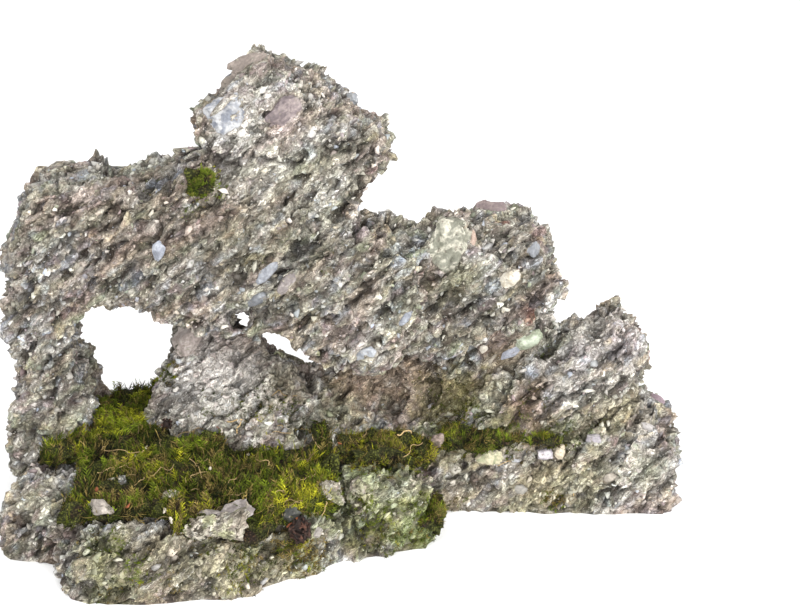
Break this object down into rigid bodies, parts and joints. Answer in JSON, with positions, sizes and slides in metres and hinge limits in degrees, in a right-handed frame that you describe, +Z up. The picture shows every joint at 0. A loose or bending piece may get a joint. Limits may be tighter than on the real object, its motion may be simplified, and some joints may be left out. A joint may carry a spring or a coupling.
{
  "type": "mossy rock",
  "caption": "Weathered conglomerate rock with a natural arch and stepped ledges, grown with cushions of moss, for a planted tray, terrarium or garden display.",
  "frame": {"origin": "on the ground under the middle of the whole", "axes": "+Z up, +X along the longest side towards the two horns, -Y towards the side with the deepest moss"},
  "size_m": [0.3442, 0.1866, 0.2325],
  "materials": {
    "stone": "rough, gritty conglomerate of grey, white, blue-grey and purple-brown grains with green algae in the hollows",
    "moss": "living moss, bright yellow-green to dark green tangled shoots, drying to tan at the edges",
    "litter": "dry bark chips, needles and stems, matte brown"
  },
  "bodies": {
    "root": {"rock": "stone", "moss_terrace": "moss", "moss_hollow": "moss", "moss_ledge": "moss", "moss_tuft": "moss", "moss_pillar": "moss", "moss_foot": "moss", "bark_left": "litter", "bark_front": "litter"}
  },
  "joints": []
}
